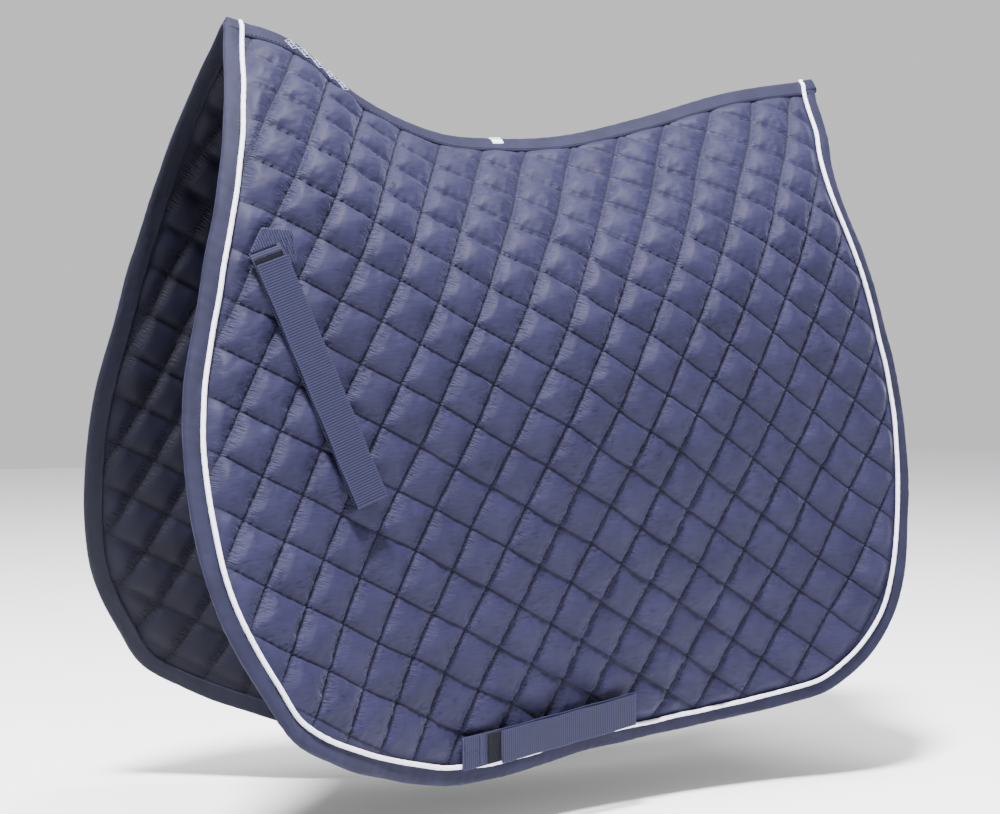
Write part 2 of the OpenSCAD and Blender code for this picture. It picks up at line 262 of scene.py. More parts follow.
# ---------------------------------------------------------------- materials
class Nodes:
    """Short way to build a node tree."""

    def __init__(self, name):
        self.m = bpy.data.materials.new(name)
        self.m.use_nodes = True
        self.t = self.m.node_tree
        self.shader = self.t.nodes["Principled BSDF"]

    def add(self, kind, inputs=None, **props):
        n = self.t.nodes.new(kind)
        for k, v in props.items():
            setattr(n, k, v)
        for k, v in (inputs or {}).items():
            self.put(n.inputs[k], v)
        return n

    def put(self, socket, value):
        if isinstance(value, bpy.types.NodeSocket):
            self.t.links.new(value, socket)
        else:
            socket.default_value = value

    def math(self, op, a, b=0.0, c=0.0, clamp=False):
        n = self.add("ShaderNodeMath", operation=op, use_clamp=clamp)
        for socket, v in zip(n.inputs, (a, b, c)):
            self.put(socket, v)
        return n.outputs[0]

    def coords(self, layer=None):
        if layer:
            return self.add("ShaderNodeUVMap", uv_map=layer).outputs[0]
        return self.add("ShaderNodeTexCoord").outputs["Object"]

    def scaled(self, vector, scale, turn=(0, 0, 0)):
        return self.add("ShaderNodeMapping", {"Vector": vector, "Scale": scale, "Rotation": turn}).outputs[0]

    def noise(self, vector, scale, detail=3.0, rough=0.55):
        return self.add(
            "ShaderNodeTexNoise", {"Vector": vector, "Scale": scale, "Detail": detail, "Roughness": rough}
        ).outputs["Fac"]

    def wave(self, vector, scale, direction="X", distortion=0.0, profile="SIN"):
        return self.add(
            "ShaderNodeTexWave",
            {"Vector": vector, "Scale": scale, "Distortion": distortion, "Detail": 1.0},
            bands_direction=direction,
            wave_profile=profile,
        ).outputs["Fac"]

    def ramp(self, value, stops):
        n = self.add("ShaderNodeValToRGB", {"Fac": value})
        e = n.color_ramp.elements
        while len(e) < len(stops):
            e.new(0.5)
        for el, (at, colour) in zip(e, stops):
            el.position = at
            el.color = (*colour, 1)
        return n.outputs["Color"]

    def mix(self, factor, a, b, kind="MIX"):
        n = self.add("ShaderNodeMix", data_type="RGBA", blend_type=kind)
        for socket, v in zip((n.inputs[0], n.inputs[6], n.inputs[7]), (factor, a, b)):
            self.put(socket, (*v, 1) if isinstance(v, tuple) and len(v) == 3 else v)
        return n.outputs[2]

    def bump(self, height, strength, distance, normal=None):
        n = self.add("ShaderNodeBump", {"Height": height, "Strength": strength, "Distance": distance})
        if normal is not None:
            self.put(n.inputs["Normal"], normal)
        return n.outputs[0]

    def finish(self, colour, rough, normal=None, sheen=0.0, sheen_rough=0.4, tint=(1, 1, 1), specular=0.4):
        s = self.shader.inputs
        self.put(s["Base Color"], (*colour, 1) if isinstance(colour, tuple) else colour)
        self.put(s["Roughness"], rough)
        s["Sheen Weight"].default_value = sheen
        s["Sheen Roughness"].default_value = sheen_rough
        s["Sheen Tint"].default_value = (*tint, 1)
        s["Specular IOR Level"].default_value = specular
        if normal is not None:
            self.put(s["Normal"], normal)
        return self.m


ONE_WAVE = 0.1 * math.pi  # scale of a wave texture for one wave in each metre
SHEEN_TINT = (0.62, 0.62, 1.0)
THREAD_MM = 0.55  # spacing of the yarns of the cloths
STITCH_MM = 3.6
CELL_I, CELL_J = 40.2, 39.5  # pitch of the quilting lines
RIB_MM = 2.2  # pitch of the ribs of the webbing


def weave(n, vector, pitch_mm):
    """Height of a plain weave, from cloth coordinates in metres."""
    scale = ONE_WAVE / (pitch_mm * MM)
    warp = n.wave(vector, scale, "X")
    weft = n.wave(vector, scale, "Y")
    return n.math("MAXIMUM", warp, weft)


def quilted_cloth(name, base, light, shade, streak, sheen):
    """Satin poly-cotton with sewn quilting lines, painted dark along them: painted shade in the seam grooves
    with painted stitch dots on it. UV layer cells counts quilt cells.
    """
    n = Nodes(name)
    cloth, cells = n.coords("cloth"), n.coords("cells")
    split = n.add("ShaderNodeSeparateXYZ", {"Vector": cells})
    to_seam = []
    for axis in ("X", "Y"):
        part = n.math("FRACT", split.outputs[axis])
        to_seam.append(n.math("MINIMUM", part, n.math("SUBTRACT", 1.0, part)))
    near = n.math("MINIMUM", *to_seam)
    in_seam = n.math("SUBTRACT", 1.0, n.math("DIVIDE", near, 0.035, clamp=True), clamp=True)
    streaks = n.noise(n.scaled(cloth, (60, 900, 1)), 1.0, 4.0, 0.7)
    broad = n.noise(cloth, 22.0, 3.0)
    tone = n.math("ADD", n.math("MULTIPLY", streaks, streak), n.math("MULTIPLY", broad, 1 - streak))
    colour = n.ramp(tone, [(0.32, shade), (0.5, base), (0.7, light)])
    pitches = (("Y", CELL_J), ("X", CELL_I))
    dots = [n.wave(cells, ONE_WAVE * pitch / STITCH_MM, axis) for axis, pitch in pitches]
    first = n.math("LESS_THAN", to_seam[0], to_seam[1])
    second = n.math("SUBTRACT", 1.0, first)
    dot = n.math("ADD", n.math("MULTIPLY", first, dots[0]), n.math("MULTIPLY", second, dots[1]))
    # Painted shade in the seam grooves: the seam band is darkened by half throughout, and the stitch dots
    # darken it further
    dark = n.math("MULTIPLY", in_seam, n.math("MULTIPLY_ADD", dot, 0.45, 0.5))
    colour = n.mix(dark, colour, tuple(0.18 * c for c in base))
    yarn = weave(n, cloth, THREAD_MM)
    wrinkle = n.noise(n.scaled(cells, (5, 26, 1)), 1.0, 2.0)
    reach = n.math("SUBTRACT", 1.0, n.math("DIVIDE", to_seam[0], 0.28, clamp=True), clamp=True)
    pull = n.math("MULTIPLY", wrinkle, reach)
    normal = n.bump(pull, 0.9, 0.0030)
    normal = n.bump(broad, 0.35, 0.0015, normal)
    normal = n.bump(yarn, 0.35, 0.00012, normal)
    rough = n.math("ADD", n.math("MULTIPLY", streaks, 0.2), 0.5)
    return n.finish(colour, rough, normal, sheen=sheen, sheen_rough=0.35, tint=SHEEN_TINT, specular=0.15)


def plain_cloth(name, base, light, dark, pitch=0.7, sheen=0.06, rough=0.7, twill=True):
    """Plain or twill tape. UV layer cloth is metres along and across it."""
    n = Nodes(name)
    cloth = n.coords("cloth")
    turned = n.scaled(cloth, (1, 1, 1), (0, 0, math.radians(50 if twill else 0)))
    ribs = n.wave(turned, ONE_WAVE / (pitch * MM), "X", 0.3)
    fine = n.noise(cloth, 2600.0, 2.0)
    broad = n.noise(cloth, 40.0, 3.0)
    tone = n.math("ADD", n.math("MULTIPLY", ribs, 0.3), n.math("MULTIPLY", broad, 0.7))
    colour = n.ramp(tone, [(0.3, dark), (0.52, base), (0.75, light)])
    normal = n.bump(ribs, 0.5, 0.0002)
    normal = n.bump(fine, 0.3, 0.00012, normal)
    normal = n.bump(broad, 0.3, 0.001, normal)
    return n.finish(colour, rough, normal, sheen=sheen, tint=SHEEN_TINT, specular=0.2)


def webbing(name, rib_groove_shade, crest):
    """Ribbed webbing. UV layer cloth is metres along and across."""
    n = Nodes(name)
    cloth = n.coords("cloth")
    ribs = n.math("SUBTRACT", 1.0, n.wave(cloth, ONE_WAVE / (RIB_MM * MM), "X"))
    yarns = n.wave(cloth, ONE_WAVE / (0.9 * MM), "Y")
    broad = n.noise(cloth, 90.0, 3.0)
    rest = n.math("MULTIPLY_ADD", yarns, 0.12, n.math("MULTIPLY", broad, 0.25))
    tone = n.math("MULTIPLY_ADD", ribs, 0.7, rest)
    # Painted shade and painted highlight: the rib grooves take the darker colour and the rib tops the lighter
    # one, over the bump of the ribs
    colour = n.ramp(tone, [(0.2, rib_groove_shade), (0.85, crest)])
    normal = n.bump(yarns, 0.4, 0.00015)
    normal = n.bump(ribs, 0.7, 0.0004, normal)
    return n.finish(colour, 0.62, normal, sheen=0.06, tint=SHEEN_TINT, specular=0.2)


def fuzzy(name, base, light):
    """Matted pile of hook or loop tape."""
    n = Nodes(name)
    at = n.coords()
    fibres = n.noise(at, 1500.0, 4.0, 0.75)
    clumps = n.noise(at, 420.0, 3.0)
    tone = n.math("MULTIPLY_ADD", fibres, 0.6, n.math("MULTIPLY", clumps, 0.4))
    colour = n.ramp(tone, [(0.35, base), (0.68, light)])
    normal = n.bump(fibres, 0.9, 0.0008)
    return n.finish(colour, 0.95, normal, sheen=0.12, specular=0.08)


def floor_paint():
    n = Nodes("pale_floor")
    speck = n.noise(n.coords(), 6.0, 2.0)
    colour = n.ramp(speck, [(0.3, (0.93, 0.93, 0.935)), (0.7, (0.95, 0.95, 0.955))])
    return n.finish(colour, 0.9, specular=0.1)


NAVY = (0.0125, 0.0118, 0.0350)
NAVY_LIGHT = (0.0200, 0.0190, 0.0520)
NAVY_DARK = (0.0075, 0.0070, 0.0235)
M_OUTER = quilted_cloth("outer_cloth", NAVY, NAVY_LIGHT, NAVY_DARK, 0.6, 0.10)
# Base, light and dark colour of each cloth
LINING = (0.0022, 0.0021, 0.0090), (0.0036, 0.0035, 0.0135), (0.0014, 0.0013, 0.0060)
M_LINING = quilted_cloth("lining", *LINING, 0.4, 0.02)
TAPE = (0.0068, 0.0068, 0.0245), (0.0110, 0.0110, 0.0360), (0.0040, 0.0040, 0.0155)
M_BINDING = plain_cloth("binding", *TAPE)
# The binding's own colours painted darker as shade, for its faces on the lining side and for the under tape
SHADED_TAPE = (0.0030, 0.0030, 0.0115), (0.0050, 0.0050, 0.0170), (0.0020, 0.0020, 0.0075)
M_BINDING_SHADED = plain_cloth("binding_painted_shade", *SHADED_TAPE)
WHITE = (0.80, 0.80, 0.88), (0.88, 0.88, 0.94), (0.70, 0.70, 0.80)
M_PIPING = plain_cloth("piping_cloth", *WHITE, 0.5, 0.1, 0.6)
# Colours of the rib grooves and rib tops: painted shade and painted highlight on one navy yarn
M_WEB = webbing("webbing_yarn", (0.0040, 0.0042, 0.0140), (0.0190, 0.0195, 0.0560))
M_GRIP = fuzzy("grip_fibres", (0.0012, 0.0012, 0.0030), (0.0090, 0.0090, 0.0170))
THREAD = (0.013, 0.013, 0.045), (0.024, 0.024, 0.070), (0.008, 0.008, 0.030)
M_THREAD = plain_cloth("navy_thread", *THREAD, 0.4, 0.1, 0.5)
M_MOTIF = plain_cloth("motif_silk", (0.30, 0.30, 0.48), (0.44, 0.44, 0.62), (0.18, 0.18, 0.32), 0.4, 0.2, 0.4)
SATIN = (0.82, 0.82, 0.86), (0.9, 0.9, 0.93), (0.72, 0.72, 0.78)
M_LABEL = plain_cloth("label_satin", *SATIN, 0.3, 0.2, 0.4, False)

# ---------------------------------------------------------------- quilting
TURN = math.radians(28.6)
LATTICE_A, LATTICE_B = -135.3, -234.3
FINE, COARSE = 16, 8  # steps a cell on the outside and on the lining
PUFF_OUT, PUFF_IN = 7.4, 5.0
SEAM_HALF = 0.8  # half thickness at a quilting line
EDGE_KEEP, SEAM_KEEP = 4.0, 2.0  # the quilting ends this far inside the bound edge and the seam
CUT_LONG = (1.05, 1.12, 1)  # how much longer than its cell the simulated cloth is cut
SIM_FRAMES = 40
SIM_CELL = 0.4  # size of a cell in the simulation, in metres
QUILT_SEED = {"left": 11, "right": 29}
SIM_CELLS = 4
STEEP = 1.05  # above 1 the crown of a cell is rounder, below 1 flatter


def to_flat(i, j):
    return (
        i * CELL_I * math.cos(TURN) - j * CELL_J * math.sin(TURN) + LATTICE_A,
        -(i * CELL_I * math.sin(TURN) + j * CELL_J * math.cos(TURN)) + LATTICE_B,
    )


def to_cells(a, b):
    a, b = a - LATTICE_A, b - LATTICE_B
    return (
        (a * math.cos(TURN) - b * math.sin(TURN)) / CELL_I,
        (-a * math.sin(TURN) - b * math.cos(TURN)) / CELL_J,
    )


def simulated_cells():
    """Cells of quilted cloth, puffed by simulation. The sewn lines stay put, and the
    cloth between them is cut a little too long, so that it crowns and wrinkles.
    Gives (variants, step, step, 3): the move along i and j in cells and a height from
    0 to about 1."""
    n = SIM_CELLS * FINE + 1
    scale = SIM_CELL / FINE
    rng = np.random.default_rng(5)
    i, j = np.meshgrid(np.arange(n), np.arange(n), indexing="ij")
    sewn = (i % FINE == 0) | (j % FINE == 0)
    flat = np.stack([i * scale, j * scale, np.zeros_like(i, float)], -1).reshape(-1, 3)
    start = flat.copy()
    start[:, 2] = np.where(sewn.ravel(), 0, 0.01 + 0.006 * rng.random(n * n))
    index = np.arange(n * n).reshape(n, n)
    quads = np.stack([index[:-1, :-1], index[1:, :-1], index[1:, 1:], index[:-1, 1:]], -1).reshape(-1, 4)
    mesh = bpy.data.meshes.new("cell_cloth")
    mesh.from_pydata(start.tolist(), [], quads.tolist())
    obj = bpy.data.objects.new("cell_cloth", mesh)
    bpy.context.scene.collection.objects.link(obj)
    obj.shape_key_add(name="Basis")
    cut = obj.shape_key_add(name="cut")
    longer = flat * CUT_LONG
    longer[:, 1] += 0.012 * noise(flat[:, :2], 0.5, 3)
    cut.data.foreach_set("co", longer.ravel())
    cut.value = 0
    group = obj.vertex_groups.new(name="sewn")
    group.add(np.flatnonzero(sewn.ravel()).tolist(), 1.0, "REPLACE")
    cloth = obj.modifiers.new("Cloth", "CLOTH")
    s = cloth.settings
    s.quality = 8
    s.mass = 0.15
    s.tension_stiffness = s.compression_stiffness = 25
    s.shear_stiffness = 8
    s.bending_stiffness = 0.35
    s.tension_damping = s.compression_damping = 12
    s.air_damping = 3
    s.vertex_group_mass = "sewn"
    s.rest_shape_key = cut
    cloth.collision_settings.use_collision = False
    scene = bpy.context.scene
    gravity, scene.gravity = scene.gravity.copy(), (0, 0, 9.81)  # upwards, as the wadding pushes
    for f in range(1, SIM_FRAMES + 1):
        scene.frame_set(f)
    scene.gravity = gravity
    done = obj.evaluated_get(bpy.context.evaluated_depsgraph_get())
    co = np.zeros(len(mesh.vertices) * 3)
    done.data.vertices.foreach_get("co", co)
    bpy.data.objects.remove(obj)
    scene.frame_set(1)
    moved = (co.reshape(-1, 3) - flat).reshape(n, n, 3)
    moved[..., :2] /= SIM_CELL
    moved[..., 2] /= np.percentile(moved[..., 2], 95)
    cells = [
        moved[a * FINE : (a + 1) * FINE + 1, b * FINE : (b + 1) * FINE + 1]
        for a in range(SIM_CELLS)
        for b in range(SIM_CELLS)
    ]
    return np.array(cells)


def pick(ci, cj, count, seed):
    """A repeatable number from 0 to count - 1 for each cell."""
    h = (ci.astype(np.int64) * 73856093) ^ (cj.astype(np.int64) * 19349663) ^ (seed * 83492791)
    h = (h ^ (h >> 13)) * 1274126177
    return ((h ^ (h >> 16)) & 0x7FFFFFFF) % count


def cell_move(field, p, q, seed):
    """The cloth's move at fine steps (p, q) of the lattice."""
    ci, cj = p // FINE, q // FINE
    k = pick(ci, cj, len(field), seed)
    swell = 0.85 + 0.3 * pick(ci, cj, 97, seed + 1) / 96
    move = field[k, p % FINE, q % FINE].copy()
    move[:, 2] *= swell
    return move


def inside(points, polygon):
    """Even-odd test of flat points against a closed outline."""
    x, y = points.T
    odd = np.zeros(len(points), bool)
    for (x0, y0), (x1, y1) in zip(polygon, np.roll(polygon, -1, axis=0)):
        if y0 == y1:
            continue
        crosses = (y0 > y) != (y1 > y)
        odd ^= crosses & (x < (x1 - x0) * (y - y0) / (y1 - y0) + x0)
    return odd


# The four neighbours of a square, and the two ends of the side that it shares with each
SQUARE_SIDES = [
    ((-1, 0), (0, 0), (0, 1)),
    ((1, 0), (1, 1), (1, 0)),
    ((0, -1), (1, 0), (0, 0)),
    ((0, 1), (0, 1), (1, 1)),
]


def quilted_flap(side, field):
    """Closed quilted stack of one flap: outer cloth, lining and the rim between them."""
    edge = even_line(EDGE, 2)[0] + [0, SEAM_RISE]
    flat_edge = np.column_stack([edge[:, 0], seam_z(edge[:, 0]) - arc_of(edge[:, 0], edge[:, 1])])
    outline = np.vstack([flat_edge, SPINE_LINE[::-1]])
    ei, ej = to_cells(*outline.T)
    i0, i1 = int(math.floor(ei.min())), int(math.ceil(ei.max()))
    j0, j1 = int(math.floor(ej.min())), int(math.ceil(ej.max()))
    steps = np.arange(i0 * FINE, i1 * FINE + 1), np.arange(j0 * FINE, j1 * FINE + 1)
    p, q = np.meshgrid(*steps, indexing="ij")
    shape = p.shape
    p, q = p.ravel(), q.ravel()
    a, b = to_flat(p / FINE, q / FINE)
    ok = inside(np.column_stack([a, b]), outline)
    tree = KDTree(len(flat_edge))
    for k, (x, z) in enumerate(flat_edge):
        tree.insert((x, z, 0), k)
    tree.balance()
    far = np.zeros(len(a))
    for k in np.flatnonzero(ok):
        far[k] = tree.find((a[k], b[k], 0))[2]
    s = seam_z(a) - b
    ok &= (far > EDGE_KEEP) & (s > SEAM_KEEP)
    index = np.arange(len(a)).reshape(shape)
    step = FINE // COARSE
    corner = index[::step, ::step]
    okc = ok[corner]
    keep = okc[:-1, :-1] & okc[1:, :-1] & okc[1:, 1:] & okc[:-1, 1:]
    ci, cj = np.nonzero(keep)
    quads = []
    for u in range(step):
        for v in range(step):
            i, j = ci * step + u, cj * step + v
            quads.append(np.stack([index[i, j], index[i, j + 1], index[i + 1, j + 1], index[i + 1, j]], -1))
    outer = np.vstack(quads)
    lining = np.stack([corner[ci, cj], corner[ci + 1, cj], corner[ci + 1, cj + 1], corner[ci, cj + 1]], -1)

    seed = QUILT_SEED[side]
    used = np.unique(outer)
    used_in = np.unique(lining)
    pos = np.full(len(a), -1)
    pos[used] = np.arange(len(used))
    pos_in = np.full(len(a), -1)
    pos_in[used_in] = np.arange(len(used_in)) + len(used)

    def place(idx, level, puff, cloth_seed):
        move = cell_move(field, p[idx], q[idx], cloth_seed)
        ease = smooth((far[idx] - 15) / 17) * smooth((s[idx] - 12) / 22)
        ii, jj = p[idx] / FINE + move[:, 0] * ease, q[idx] / FINE + move[:, 1] * ease
        x, y = to_flat(ii, jj)
        drift = np.column_stack([x, y])
        x = x + 0.9 * noise(drift, 130, cloth_seed) * ease
        y = y + 0.9 * noise(drift, 130, cloth_seed + 3) * ease
        z = z_of(x, seam_z(x) - y)
        uneven = 0.7 * noise(drift, 190, 7) * ease
        full = np.clip(move[:, 2], 0, 1.2) ** STEEP
        height = SEAM_HALF + puff * full * ease
        pts = on_flap(x, z, mid_off(s[idx]) + uneven + level * height)
        pts[:, 1] = np.minimum(pts[:, 1], -0.2)
        return round_crest(pts), np.column_stack([ii, jj]), np.column_stack([x, y]) * MM

    top = place(used, 1, PUFF_OUT, seed)
    under = place(used_in, -1, PUFF_IN, seed + 7)
    points = np.vstack([top[0], under[0]])
    cells, cloth = np.vstack([top[1], under[1]]), np.vstack([top[2], under[2]])

    faces = pos[outer].tolist()
    slots = [0] * len(faces)
    back = pos_in[lining].tolist()
    faces += back
    slots += [1] * len(back)
    rim = 0
    padded = np.pad(keep, 1)
    for (di, dj), s0, s1 in SQUARE_SIDES:
        open_side = keep & ~padded[1 + di : 1 + di + keep.shape[0], 1 + dj : 1 + dj + keep.shape[1]]
        for ii, jj in zip(*np.nonzero(open_side)):
            c0, c1 = (ii + s0[0], jj + s0[1]), (ii + s1[0], jj + s1[1])
            va, vb = corner[c0], corner[c1]
            vm = index[(c0[0] + c1[0]) * step // 2, (c0[1] + c1[1]) * step // 2]
            a_out, b_out, m_out, a_in, b_in = pos[va], pos[vb], pos[vm], pos_in[va], pos_in[vb]
            faces += [[a_out, a_in, m_out], [m_out, a_in, b_in], [m_out, b_in, b_out]]
            rim += 3
    slots += [1] * rim
    if side == "left":
        faces = [f[::-1] for f in faces]
    obj = new_mesh(
        f"{side}_quilted_flap",
        mirrored(points, side),
        faces,
        [M_OUTER, M_LINING],
        slots,
        {"cells": cells, "cloth": cloth},
    )
    bend(obj, [f"{side}_outer_panel", f"{side}_wadding", f"{side}_lining_panel"])
    return obj


# ---------------------------------------------------------------- bound edge
PIPING_AT = 16.0
PIPING_R = 2.1
EDGE_STITCH_AT = 13.4
OUTSIDE_POINTS = 11  # points of the binding's section that lie on its outer face


def edge_stations(step):
    """Stations round the edge of the left flap: side-view point, inward direction in the
    side view, distance along, and the cloth's distance below the seam."""
    line, along = even_line(EDGE, step)
    line = line + [0, SEAM_RISE]
    x, z = line.T
    p3 = on_flap(x, z, np.full(len(x), MID_OFF))
    tangent = unit(np.gradient(p3, axis=0))
    n = normal_at(x, z)
    inward = unit(np.cross(n, tangent))
    to_middle = np.array([60.0, 0, -250.0]) - p3
    to_middle[:, 1] = 0
    sign = np.sign(np.median((inward * to_middle).sum(1)))
    inward *= sign
    for end, along_seam in ((0, SPINE_LINE[6] - SPINE_LINE[0]), (-1, SPINE_LINE[-7] - SPINE_LINE[-1])):
        d = unit(np.array([along_seam[0], 0, along_seam[1]]))
        w = 1 - smooth((along - along[0] if end == 0 else along[-1] - along) / 26)
        inward = unit(inward * (1 - w[:, None]) + d * w[:, None])
    return line, inward[:, [0, 2]], along, arc_of(x, z)


def edge_point(line, inward, s, d, h):
    """Points d inside the edge and h above the middle of the stack."""
    q = line + inward * d[:, None]
    x, z = q.T
    below = np.minimum(z, seam_z(x))
    pts = on_flap(x, below, mid_off(s) + h)
    # close to the spine seam the two sides meet over it
    near = 1 - smooth(s / 9)
    crest = np.column_stack([x, np.zeros(len(x)), below + mid_off(s) + h * 1.2])
    pts = pts * (1 - near[:, None]) + crest * near[:, None]
    pts[:, 1] = np.minimum(pts[:, 1], 0)
    return round_crest(pts)


# Distance in from the edge, and height above the middle of the stack
BINDING_SECTION = [(17.4, 1.2), (17.0, 2.5), (15.5, 2.9), (13.6, 2.55), (11.5, 3.0), (8.5, 3.2)]
BINDING_SECTION += [(5.5, 3.15), (3.2, 2.9), (1.6, 2.3), (0.6, 1.4), (0.1, 0.5)]
BINDING_SECTION += [(0.1, -0.5), (0.6, -1.4), (1.6, -2.3), (3.2, -2.9), (5.5, -3.1), (9.0, -3.1)]
BINDING_SECTION += [(12.5, -3.05), (15.0, -2.7), (16.4, -2.9), (17.0, -2.5), (17.4, -1.2)]


def edge_binding(side):
    """Twill tape folded over the edge, a little puckered along its stitching."""
    line, inward, along, s = edge_stations(2.0)
    rings, uv = [], []
    across = np.r_[0, np.cumsum([math.dist(a, b) for a, b in zip(BINDING_SECTION, BINDING_SECTION[1:])])]
    for k, (d, h) in enumerate(BINDING_SECTION):
        spots = np.column_stack([along, np.full(len(along), across[k] * 3)])
        pucker = 0.22 * noise(spots, 13, 5) + 0.25 * noise(spots, 45, 6)
        wave = 0.35 * noise(np.column_stack([along]), 90, 8)
        edge_free = 1 - smooth(d / 12)
        depth = np.full(len(along), d) + wave * edge_free
        height = np.full(len(along), h) + pucker * np.sign(h)
        rings.append(edge_point(line, inward, s, depth, height))
        uv.append(np.column_stack([along, np.full(len(along), across[k])]) * MM)
    rings = np.stack(rings, 1)
    uv = np.stack(uv, 1).reshape(-1, 2)
    obj = loft(f"{side}_bound_edge", rings, side, [M_BINDING, M_BINDING_SHADED], uv={"cloth": uv})
    m = len(BINDING_SECTION)
    slots = np.zeros(len(obj.data.polygons), np.int32)
    # Faces past the outer face take the binding's colour painted darker as shade
    for k in range(len(obj.data.polygons) - 2):
        slots[k] = 1 if k % m >= OUTSIDE_POINTS else 0
    obj.data.polygons.foreach_set("material_index", slots)
    return bend(obj, [f"{side}_edge_binding"])


def piping(side):
    """Cloth-covered cord in the inner edge of the binding."""
    line, inward, along, s = edge_stations(1.6)
    d = PIPING_AT + 0.25 * noise(along[:, None], 70, 2)
    c = edge_point(line, inward, s, d, np.full(len(along), 2.6 + PIPING_R * 0.75))
    t = unit(np.gradient(c, axis=0))
    up = edge_point(line, inward, s, d, np.full(len(along), 12.0)) - c
    n = unit(up - (up * t).sum(1, keepdims=True) * t)
    w = np.cross(t, n)
    m = 12
    angles = np.arange(m) * 2 * math.pi / m
    r = PIPING_R * (1 + 0.035 * noise(along[:, None], 9, 3))[:, None, None]
    turn = np.cos(angles)[None, :, None] * w[:, None] + np.sin(angles)[None, :, None] * n[:, None]
    ring = c[:, None] + r * turn
    ring[..., 1] = np.minimum(ring[..., 1], 0)
    uv = np.stack(np.broadcast_arrays(along[:, None], angles[None, :] * PIPING_R), -1).reshape(-1, 2) * MM
    obj = loft(f"{side}_piping_cord", ring, side, [M_PIPING], uv={"cloth": uv})
    return bend(obj, [f"{side}_piping"])


# ---------------------------------------------------------------- spine seam
TAPE_REACH = 19.0
CROSSING_REACH = 14.0


def seam_section(x, reach, off, outside=True):
    """Cross-section over the seam at the stations x, from the left to the right side."""
    rows = []
    steps = [reach + 0.4, reach, reach * 0.85, reach * 0.6, reach * 0.4, reach * 0.25, 2.5]
    for k, s in enumerate(steps):
        lift = off if k else off - (1.4 if outside else -1.4)
        ss = np.full(len(x), s)
        p = on_flap(x, z_of(x, ss), mid_off(ss) + lift)
        p[:, 1] = np.minimum(p[:, 1], -0.3)
        rows.append(p)
    top = np.column_stack([x, np.zeros(len(x)), seam_z(x) + mid_off(0) + off * 1.35])
    right = [r * [1, -1, 1] for r in rows[::-1]]
    return round_crest(np.stack([*rows, top, *right], 1))


def seam_band(
    name, reach, off, thick, material, outside, nodes, x0, x1, round_end=0
):
    """A tape over the seam from x0 to x1. round_end is -1 or 1 where it folds round the
    front or the rear end of the seam."""
    x = np.linspace(x0, x1, max(8, round((x1 - x0) / 3)))
    ripple = 0.12 * noise(x[:, None], 18, 4)
    skin = seam_section(x, reach, off, outside)
    skin[..., 2] += ripple[:, None]
    back = seam_section(x, reach, off - thick, outside)[:, ::-1]
    if round_end:
        # the fold of the tape, round the end of the seam: the two faces close up there
        to_end = (x - x0) if round_end < 0 else (x1 - x)
        open_by = np.sqrt(1 - (1 - np.clip(to_end / 3.2, 0, 1)) ** 2)[:, None, None]
        middle = (skin + back[:, ::-1]) / 2
        under = middle[:, ::-1]
        skin, back = middle + (skin - middle) * open_by, under + (back - under) * open_by
    ring = np.concatenate([skin, back], 1)
    if not outside:
        ring = ring[:, ::-1]
    n, m = ring.shape[:2]
    across = np.linspace(-reach, reach, skin.shape[1])
    across = np.r_[across, across[::-1]]
    uv = np.stack(np.broadcast_arrays(x[:, None], across[None, :]), -1).reshape(-1, 2) * MM
    obj = new_mesh(name, ring.reshape(-1, 3), tube_faces(n, m), [material], uv={"cloth": uv})
    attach(obj, "spine")
    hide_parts(*nodes)
    return obj


def on_seam(x, s, off):
    """Points on the left side of the ridge, s millimetres of cloth from the seam."""
    x, s = np.atleast_1d(np.asarray(x, float)), np.atleast_1d(np.asarray(s, float))
    return round_crest(on_flap(x, z_of(x, s), mid_off(s) + off))


def seam_stitching():
    """A row of stitches near each edge of the spine band."""
    segments = []
    for x in np.arange(-248, 378, STITCH_MM):
        a, b = on_seam([x, x + STITCH_MM * 0.6], [TAPE_REACH - 2.2] * 2, 3.0)
        out = normal_at(np.array(x), seam_z(x) - 12)
        for side in SIDES:
            segments.append((mirrored(a, side), mirrored(b, side), mirrored(out, side)))
    obj = thread_mesh("spine_stitching", segments, M_THREAD, 0.34)
    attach(obj, "spine")


def motif():
    """Plain row of embroidered diamonds on the front of the spine band."""
    low, high = (np.array(v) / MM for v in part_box("motif_patch"))
    segments, count = [], 5
    width = (high[0] - low[0] - 4) / count
    for k in range(count):
        x0 = low[0] + 2 + k * width
        for shrink in (1.0, 0.5):
            half, tall = width / 2 * shrink, 6.5 * shrink
            centre = (x0 + width / 2, 9.5)
            corners = [(-half, 0), (0, -tall), (half, 0), (0, tall), (-half, 0)]
            for (xa, sa), (xb, sb) in zip(corners, corners[1:]):
                steps = np.linspace(0, 1, max(3, round(math.hypot(xb - xa, sb - sa) / 2.6) + 1))
                line = on_seam(centre[0] + xa + (xb - xa) * steps, centre[1] + sa + (sb - sa) * steps, 3.15)
                for a, b in zip(line, line[1:]):
                    out = normal_at(np.array(centre[0]), seam_z(centre[0]) - 10)
                    for side in SIDES:
                        segments.append((mirrored(a, side), mirrored(b, side), mirrored(out, side)))
    obj = thread_mesh("motif_embroidery", segments, M_MOTIF, 0.5)
    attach(obj, "spine")
    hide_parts("motif_patch")


def ridge_details():
    """Bindings over the ends of the seam, the care label, the motif and the stitching."""
    for name, node, x0, x1, end in (
        ("withers_crossing", "withers_binding", -262.0, -245.5, -1),
        ("cantle_crossing", "cantle_binding", 375.5, 392.0, 1),
    ):
        seam_band(name, CROSSING_REACH, 3.7, 7.4, M_BINDING, True, [node], x0, x1, round_end=end)
    low, high = (np.array(v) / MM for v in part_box("care_label"))
    seam_band("care_label_satin", 9.5, 3.6, 0.55, M_LABEL, True, ["care_label"], low[0], high[0])
    seam_stitching()
    motif()


